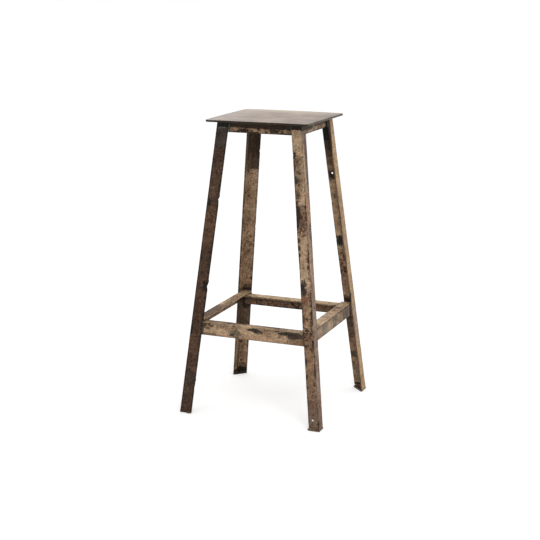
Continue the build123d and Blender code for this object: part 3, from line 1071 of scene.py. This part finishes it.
# Hot-rolled steel plate, browned by use and waxed: a thin hard oxide with a soft sheen, soft patches
# drawn out along its width, fine wipe lines and a nearly black sheared edge.
def waxedPlate(name, look):
    material, add, place = newFinish(name)
    fields = {}
    for key, size, stretch, detail in (  # sizes in millimetres
        ("cloud", 55, (1, 1, 1), 4.0),
        ("streak", 10, (0.3, 1, 1), 5.0),
        ("scratch", 2.2, (0.03, 1, 1), 2.0),  # wipe lines, drawn wider than they are
        ("spot", 9, (1, 1, 1), 3.0),
        ("cast", 26, (0.4, 1, 1), 3.0),
    ):
        scaled = add("ShaderNodeMapping", {"Vector": place, "Scale": stretch})
        fields[key] = add("ShaderNodeTexNoise", {
            "Vector": scaled, "Scale": 1 / (size * mm), "Detail": detail, "Roughness": 0.6,
        })
    tone = add("ShaderNodeMath", [fields["streak"], fields["cloud"]])
    tone = add("ShaderNodeMapRange", [tone, 0.75, 1.25])
    cast = add("ShaderNodeMapRange", [fields["cast"], 0.38, 0.62])
    light = add("ShaderNodeMix", [cast, linear(look["light"]), linear(look["pink"])], data_type="RGBA")
    brown = add("ShaderNodeMix", [tone, linear(look["dark"]), light], data_type="RGBA")

    # rust spots, then tones that come in towards the back, left and right edges; the dark one at the right
    # edge is painted shade
    x, y = seatHigh.x, seatHigh.y
    axes = add("ShaderNodeSeparateXYZ", [place]).node.outputs
    for key, value, start, end, cover, ramp in (
        ("spot", fields["spot"], 0.6, 0.72, 0.5, "LINEAR"),
        ("pale", axes["Y"], 0.45 * y, y, look["paleBackCover"], "SMOOTHSTEP"),
        ("grey", axes["X"], -0.3 * x, -x, look["bleached"], "LINEAR"),
        ("dark", axes["X"], 0.2 * x, x, look["rightShade"], "LINEAR"),
    ):
        share = add("ShaderNodeMapRange", [value, start, end, 0.0, cover], interpolation_type=ramp)
        brown = add("ShaderNodeMix", [share, brown, linear(look[key])], data_type="RGBA")

    # sheared edge, rubbed on the right
    rubbed = add("ShaderNodeMapRange", [axes["X"], x - 3 * mm, x - 1 * mm])
    edge = add("ShaderNodeMix", [rubbed, linear(look["edge"]), linear(look["rubbed"])], data_type="RGBA")
    rim = add("ShaderNodeAttribute", out="Fac", attribute_name="rim")
    ragged = add("ShaderNodeMath", [fields["spot"], -6.0, rim], operation="MULTIPLY_ADD")
    sheared = add("ShaderNodeMapRange", [ragged, -2.6, 0.2, 1.0, 0.0], interpolation_type="SMOOTHSTEP")
    colour = add("ShaderNodeMix", [sheared, brown, edge], data_type="RGBA")
    smooth, dull = look["gloss"]
    rough = add("ShaderNodeMapRange", [fields["streak"], 0.3, 0.7, smooth, dull])
    bump = add("ShaderNodeBump", {"Height": fields["scratch"], "Distance": 0.08 * mm, "Strength": 0.5})
    sheen = add("ShaderNodeMapRange", [sheared, 0.0, 1.0, 0.5, 0.08])
    shader = add("ShaderNodeBsdfPrincipled", {
        "Base Color": colour, "Roughness": rough, "Normal": bump, "IOR": 1.5,
        "Specular IOR Level": sheen,
    })
    add("ShaderNodeOutputMaterial", {"Surface": shader})
    return material


seatPaint = {
    "light": "bfab92",
    "pink": "bda49a",
    "pale": "cebca6",
    "grey": "cdc4bb",
    "dark": "715d4c",
    "spot": "5f4f42",
    "edge": "352c24",
    "rubbed": "5b5044",  # right edge
    "paleBackCover": 1.0,  # cover of the pale tone at the back edge
    "bleached": 0.4,  # cover of the grey tone at the left edge
    "rightShade": 0.47,  # cover of the dark tone at the right edge, painted shade
    "gloss": (0.34, 0.48),
}
seat = makeSeat()
seat.data.materials.append(waxedPlate("waxedPlate", seatPaint))
settle(seat, "seat_plate", 50)
print("seat", len(seat.data.polygons), "faces")

# feet: three-cornered plates, flame cut and worn
footSet = {
    "tip": 4.5 * mm,  # blunt width of the sharp corners
    "bevel": 0.8 * mm,
    "step": 2 * mm,
    "wear": 0.7 * mm,
    "wearSize": 6 * mm,
    "trim": {"front_left": (3.5 * mm, 0), "back_left": (2.6 * mm, 2.6 * mm)},  # tips knocked off
    "broken": {"front_left": (0.55, 3.5 * mm)},  # front edge gone near the heel: share of it, depth
    "hammered": {"front_right": (0.22, 1.8 * mm, 1.0 * mm)},  # left tip: share of the edge, up, out
}


def footOutline(corner, reach):
    sideX, sideY = corners[corner]
    tip, size = footSet["tip"], footSet["wearSize"]
    trimX, trimY = footSet["trim"].get(corner, (0, 0))
    across, along = reach - trimX, reach - trimY
    brokenShare, brokenDepth = footSet["broken"].get(corner, (0, 0))
    plan = [(0, 0), (across, 0), (across, tip), (tip, along), (0, along)]  # inward from the heel
    outline = []
    for (u0, v0), (u1, v1) in zip(plan, plan[1:] + plan[:1]):
        count = max(1, round(math.hypot(u1 - u0, v1 - v0) / footSet["step"]))
        for i in range(count):
            u = u0 + (u1 - u0) * i / count
            v = v0 + (v1 - v0) * i / count
            worn = footSet["wear"] * abs(noise.noise(Vector((u / size, v / size, sideX + 3 * sideY))))
            u += worn if u < reach / 2 else -worn
            v += worn if v < reach / 2 else -worn
            if v1 == v0 == 0 and u < brokenShare * reach:
                v += brokenDepth
            outline.append(Vector((u, v)))
    return outline


def makeFoot(corner):
    sideX, sideY = corners[corner]
    low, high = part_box("foot_plate_" + corner)
    heelX, heelY = high.x if sideX > 0 else low.x, high.y if sideY > 0 else low.y
    reach = high.x - low.x
    outline = footOutline(corner, reach)
    middle = sum(outline, Vector((0, 0))) / len(outline)
    bevel, thick = footSet["bevel"], high.z - low.z
    levels = [(bevel, 0), (0.3 * bevel, 0.3 * bevel), (0, bevel)]
    levels += [(inset, thick - rise) for inset, rise in levels[::-1]]
    work = bmesh.new()
    rings = []
    for inset, rise in levels:
        ring = []
        for point in outline:
            u, v = point + (middle - point).normalized() * inset
            ring.append(work.verts.new((heelX - sideX * u, heelY - sideY * v, low.z + rise)))
        rings.append(ring)
    joinRings(work, rings[::-1])
    work.faces.new(rings[0][::-1])
    work.faces.new(rings[-1])
    if corner in footSet["hammered"]:
        share, up, out = footSet["hammered"][corner]
        for vertex in work.verts:
            past = (heelX - vertex.co.x - (1 - share) * reach) / (share * reach)
            if past > 0:
                vertex.co.z += up * past ** 2
                vertex.co.x -= out * past
    mesh = bpy.data.meshes.new("foot_" + corner)
    work.to_mesh(mesh)
    work.free()
    return newObject("footPlate." + corner, mesh)


# Blackened mild steel, flame cut and weld scorched: black scale with brown rust, dull.
# Serves the foot plates and, with other tones, the weld beads.
def scorchedSteel(name, dark, light, fleck):
    material, add, place = newFinish("scorchedSteel." + name)
    scale = add("ShaderNodeTexNoise", {
        "Vector": place, "Scale": 1 / (9 * mm), "Detail": 5.0, "Roughness": 0.65,
    })
    grit = add("ShaderNodeTexNoise", {
        "Vector": place, "Scale": 1 / (2 * mm), "Detail": 3.0, "Roughness": 0.6,
    })
    share = add("ShaderNodeMapRange", [scale, 0.38, 0.62])
    colour = add("ShaderNodeMix", [share, linear(dark), linear(light)], data_type="RGBA")
    flecks = add("ShaderNodeMapRange", [grit, 0.56, 0.68, 0.0, 0.7])
    colour = add("ShaderNodeMix", [flecks, colour, linear(fleck)], data_type="RGBA")
    rough = add("ShaderNodeMapRange", [grit, 0.0, 1.0, 0.45, 0.75])
    bump = add("ShaderNodeBump", {"Height": grit, "Distance": 0.3 * mm, "Strength": 0.6})
    shader = add("ShaderNodeBsdfPrincipled", {
        "Base Color": colour, "Roughness": rough, "Normal": bump, "IOR": 1.45,
    })
    add("ShaderNodeOutputMaterial", {"Surface": shader})
    return material


footSteel = scorchedSteel("feet", "3a3026", "6c5a48", "95836c")
blackSteel = scorchedSteel("blackFoot", "15100c", "2c231b", "43372b")
for corner in corners:
    foot = makeFoot(corner)
    foot.data.materials.append(blackSteel if corner == "back_left" else footSteel)
    settle(foot, "foot_plate_" + corner)
print("feet done")

# welds: stick-welded beads, a row of frozen ripples along each seam
weldSet = {
    "radius": 3.3 * mm,
    "vary": (0.78, 1.08),  # smallest and largest ripple, against the radius
    "pitch": 1.7 * mm,
    "squash": 0.75,  # ripple thickness along the seam, against its radius
    "inset": 3 * mm,  # bare ends of a seam
    "facets": (14, 8),  # of a ripple, round it and over it
    "voxel": 0.6 * mm,
    "smoothing": 2,
    "stitch": 36 * mm,
    "stitchPitch": 88 * mm,
}


# weldBead: sets a ripple at each step along the seams
def makeWeldTree():
    tree, add, given = newTree("weldBead", {
        "Geometry": ("Seams",),
        "Float": ("Radius", "Pitch", "Squash", "Smallest", "Largest"),
        "Int": ("Seed",),
        "Material": ("Material",),
    })
    path = add("GeometryNodeMeshToCurve", [given["Seams"]])
    path = add("GeometryNodeResampleCurve", {"Curve": path, "Length": given["Pitch"]}, mode="LENGTH")
    tangent = add("GeometryNodeInputTangent")
    turn = add("FunctionNodeAlignRotationToVector", {"Vector": tangent}, axis="Z")
    radius = given["Radius"]
    thin = add("ShaderNodeMath", [radius, given["Squash"]], operation="MULTIPLY")
    size = add("ShaderNodeCombineXYZ", {"X": radius, "Y": radius, "Z": thin})
    vary = add("FunctionNodeRandomValue", {
        "Min": given["Smallest"], "Max": given["Largest"], "Seed": given["Seed"],
    }, data_type="FLOAT")
    around, over = weldSet["facets"]
    beads = add("GeometryNodeInstanceOnPoints", {
        "Points": path,
        "Instance": add("GeometryNodeMeshUVSphere", {"Segments": around, "Rings": over, "Radius": 1.0}),
        "Rotation": turn,
        "Scale": add("ShaderNodeVectorMath", [size, vary], operation="SCALE"),
    })
    closeTree(add, beads, given["Material"])
    return tree


# up and down a flange tip, where a rail meets the inside of the leg
def toeSeam(corner, way, top, bottom):
    bar = bars["leg_" + corner]
    other = "b" if way == "a" else "a"
    return [heelAt(bar, z) + bar[way] * bar["width"] + bar[other] * wall for z in (top, bottom)]


# level, along the inside of a flange
def innerSeam(corner, way, z):
    bar = bars["leg_" + corner]
    other = "b" if way == "a" else "a"
    near = bar["width"] - weldSet["inset"]
    far = wall + angleStock["root"] + weldSet["radius"]
    return [heelAt(bar, z) + bar[way] * reach + bar[other] * wall for reach in (near, far)]


def makeWeld(name, node, seams, seed, material):
    mesh = bpy.data.meshes.new(name)
    points = [point for seam in seams for point in seam]
    mesh.from_pydata(points, [(i, i + 1) for i in range(0, len(points), 2)], [])
    smallest, largest = weldSet["vary"]
    weld = growMesh(name, weldTree, {
        "Radius": weldSet["radius"],
        "Pitch": weldSet["pitch"],
        "Squash": weldSet["squash"],
        "Smallest": smallest,
        "Largest": largest,
        "Seed": seed,
        "Material": material,
    }, mesh)
    skin = weld.modifiers.new("skin", "REMESH")
    skin.mode = "VOXEL"
    skin.voxel_size = weldSet["voxel"]
    soften = weld.modifiers.new("soften", "SMOOTH")
    soften.iterations = weldSet["smoothing"]
    bakeModifiers(weld)
    weld.data.materials.clear()
    weld.data.materials.append(material)
    settle(weld, node, 80)


weldTree = makeWeldTree()
greyBead = scorchedSteel("topWelds", "34352c", "64665a", "7f8274")
brownBead = scorchedSteel("welds", "231b15", "4a3a2c", "6a5644")
inset = weldSet["inset"]
seed = 0
for corner in corners:
    endName, sideName = corner.split("_")
    crossLow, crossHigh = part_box("foot_rail_" + endName)
    sideLow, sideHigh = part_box("foot_rail_" + sideName)
    frameTop = seatLow.z - weldSet["radius"] - inset
    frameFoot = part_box("top_rail_" + endName)[0].z + inset
    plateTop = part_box("foot_plate_" + corner)[1].z
    groups = {
        "top_welds_": [toeSeam(corner, way, frameTop, frameFoot) for way in ("a", "b")],
        "ring_welds_": [
            toeSeam(corner, "a", crossHigh.z, crossLow.z + inset),
            toeSeam(corner, "b", sideHigh.z, sideLow.z + inset),
            innerSeam(corner, "a", sideHigh.z),
        ],
        "foot_welds_": [innerSeam(corner, way, plateTop) for way in ("a", "b")],
    }
    for node, seams in groups.items():
        seed += 1
        bead = greyBead if node == "top_welds_" and endName == "front" else brownBead
        makeWeld("weld." + node + corner, node + corner, seams, seed, bead)

stitches = []
for side in (-1, 1):
    for middle in (-weldSet["stitchPitch"] / 2, weldSet["stitchPitch"] / 2):
        ends = (middle - weldSet["stitch"] / 2, middle + weldSet["stitch"] / 2)
        stitches.append([Vector((x, side * topHalf.y, seatLow.z)) for x in ends])
        stitches.append([Vector((side * topHalf.x, y, seatLow.z)) for y in ends])
makeWeld("weld.seat_stitch", "seat_stitch_welds", stitches, seed + 1, brownBead)
print("welds done")

# studio: white floor and world, soft key from the right, camera at the photographed angle
studio = {
    "worldLight": 0.72,
    "keyPower": 34.0,
    "keySize": 1.6,
    "keyFrom": (1.7, -2.3, 2.6),
    "target": (0.0, 0.0, 0.42),
    "floorSize": 60.0,
    "floorGrey": 0.93,
    "floorLift": 0.36,
}


# 1 for the rays that show the backdrop itself, to the camera or by way of gloss or glass
def backdropRays(add):
    rays = add("ShaderNodeLightPath").node.outputs
    seen = add("ShaderNodeMath", [rays["Is Camera Ray"], rays["Is Glossy Ray"]], operation="MAXIMUM")
    return add("ShaderNodeMath", [seen, rays["Is Transmission Ray"]], operation="MAXIMUM")


world = bpy.data.worlds.new("studio")
scene.world = world
add = clearTree(world)
lit = add("ShaderNodeBackground", {"Color": [studio["worldLight"]] * 3 + [1.0]})
white = add("ShaderNodeBackground", {"Color": (1, 1, 1, 1)})
sky = add("ShaderNodeMixShader", [backdropRays(add), lit, white])
add("ShaderNodeOutputWorld", {"Surface": sky})

# White painted floor: matt and pale, lifted towards white for the eye, and it keeps the shadow.
floorPaint = bpy.data.materials.new("whiteFloor")
add = clearTree(floorPaint)
lift = add("ShaderNodeMath", [backdropRays(add), studio["floorLift"]], operation="MULTIPLY")
matt = add("ShaderNodeBsdfDiffuse", {"Color": [studio["floorGrey"]] * 3 + [1.0]})
glow = add("ShaderNodeEmission", {"Strength": lift})
both = add("ShaderNodeAddShader", [matt, glow])
add("ShaderNodeOutputMaterial", {"Surface": both})
half = studio["floorSize"] / 2
floorPoints = [(-half, -half, 0), (half, -half, 0), (half, half, 0), (-half, half, 0)]
floor = newObject("floor", bpy.data.meshes.new("floor"))
floor.data.from_pydata(floorPoints, [], [(0, 1, 2, 3)])
floor.data.materials.append(floorPaint)

keyLamp = bpy.data.lights.new("key", "AREA")
keyLamp.energy = studio["keyPower"]
keyLamp.size = studio["keySize"]
key = newObject("key", keyLamp)
key.location = studio["keyFrom"]
key.rotation_euler = (Vector(studio["target"]) - key.location).to_track_quat("-Z", "Y").to_euler()

cameraSet = {
    "place": (1.2436, -3.0788, 1.1702),
    "pitch": 13.587,  # degrees below level
    "yaw": 22.254,  # turned to the left of straight ahead
    "lens": 84.82,
    "sensor": 36,
}
cameraData = bpy.data.cameras.new("camera")
cameraData.sensor_width = cameraSet["sensor"]
cameraData.lens = cameraSet["lens"]
camera = newObject("camera", cameraData)
camera.location = cameraSet["place"]
camera.rotation_euler = (math.radians(90 - cameraSet["pitch"]), 0, math.radians(cameraSet["yaw"]))
scene.camera = camera
scene.view_settings.view_transform = "Standard"
print("studio set")
